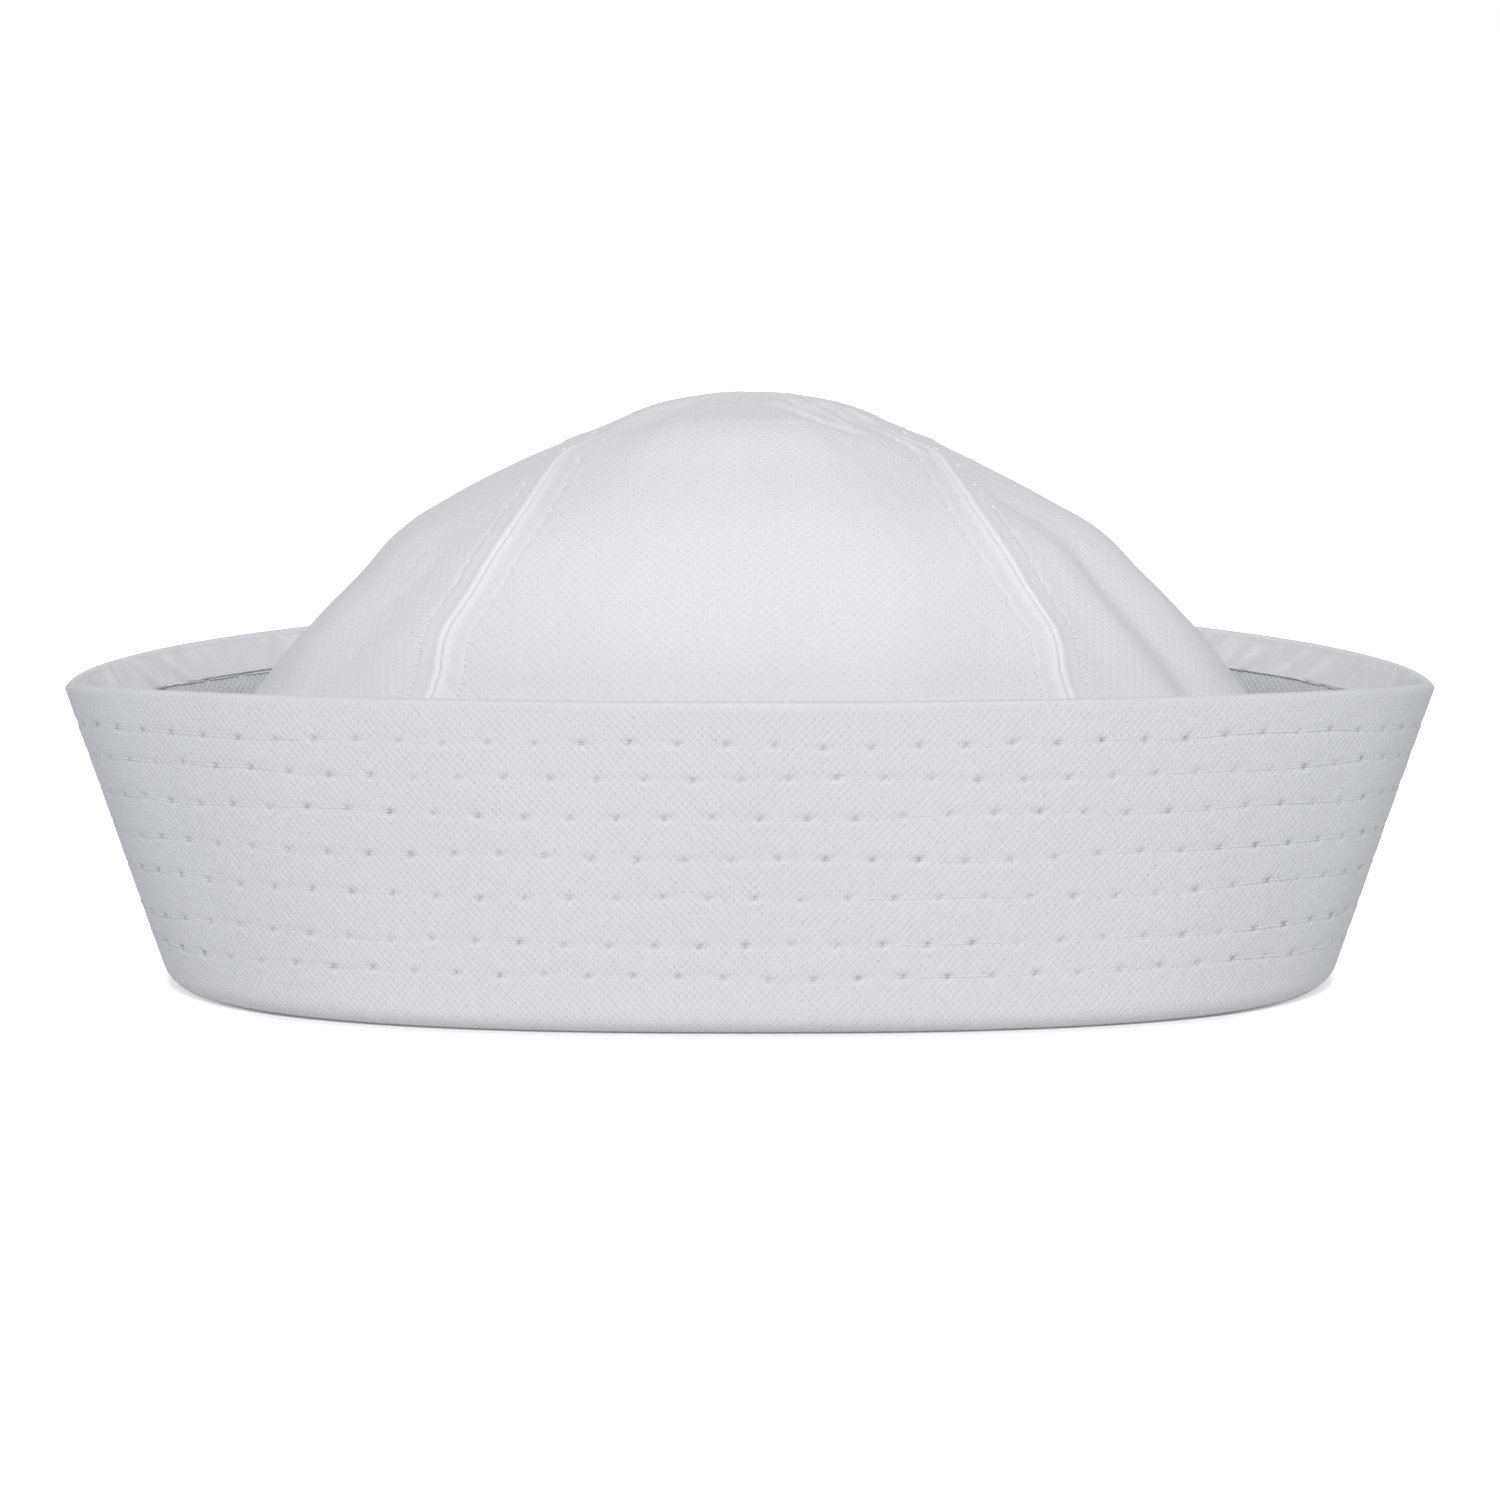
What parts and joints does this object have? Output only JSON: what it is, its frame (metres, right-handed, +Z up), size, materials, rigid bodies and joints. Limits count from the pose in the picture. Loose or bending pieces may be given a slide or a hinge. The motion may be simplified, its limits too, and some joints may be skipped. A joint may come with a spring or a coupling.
{
  "type": "sailor cap",
  "caption": "White cloth sailor cap: a domed crown of seamed wedges inside a tall stitched brim turned up all round, open below for the head.",
  "frame": {"origin": "middle of the foot, on the surface that the cap stands on", "axes": "+Z up through the crown's point, +X to the right as seen from the front, the front of the cap towards -Y"},
  "size_m": [0.272, 0.18, 0.116],
  "materials": {
    "outer_cloth": "white pinhole pique cotton, matt",
    "lining_cloth": "coarse off-white felt-like cloth, matt"
  },
  "bodies": {
    "root": {"crown_front_panel": "outer_cloth", "crown_back_panel": "outer_cloth", "crown_right_panel": "outer_cloth", "crown_left_panel": "outer_cloth", "brim_shell": "outer_cloth", "brim_lining": "lining_cloth", "rim_facing": "outer_cloth"}
  },
  "joints": []
}
